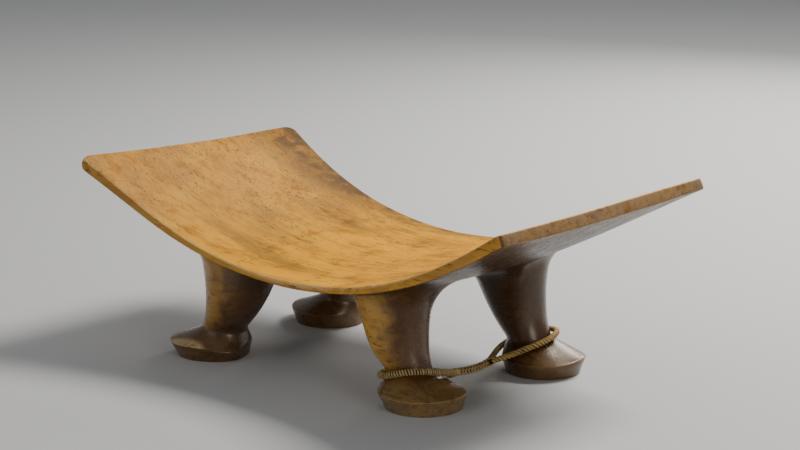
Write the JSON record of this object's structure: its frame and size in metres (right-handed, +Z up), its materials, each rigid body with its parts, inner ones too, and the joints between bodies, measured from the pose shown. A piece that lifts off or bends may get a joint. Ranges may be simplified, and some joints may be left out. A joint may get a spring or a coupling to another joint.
{
  "type": "headrest",
  "caption": "Carved wooden headrest: a thin curved rectangular plate on short legs with disc feet, with a fibre cord looped between two ankles.",
  "frame": {"origin": "on the ground, under the middle of the plate", "axes": "+Z up; +X along the headrest towards the end whose ankles carry the cord; +Y across it, from the near long edge to the far one"},
  "size_m": [0.3397, 0.1713, 0.12],
  "materials": {
    "wood": "hand-rubbed, golden brown above, dark polished patina on the legs and underside",
    "cord_fibre": "twisted and wrapped plant-fibre cord",
    "serving_fibre": "orange-brown plaited plant fibre",
    "binding_fibre": "fine wound plant fibre"
  },
  "bodies": {
    "root": {"carved_headrest": "wood", "cord": "cord_fibre", "span_serving": "serving_fibre", "near_seizing": "binding_fibre", "far_seizing": "binding_fibre"}
  },
  "joints": []
}
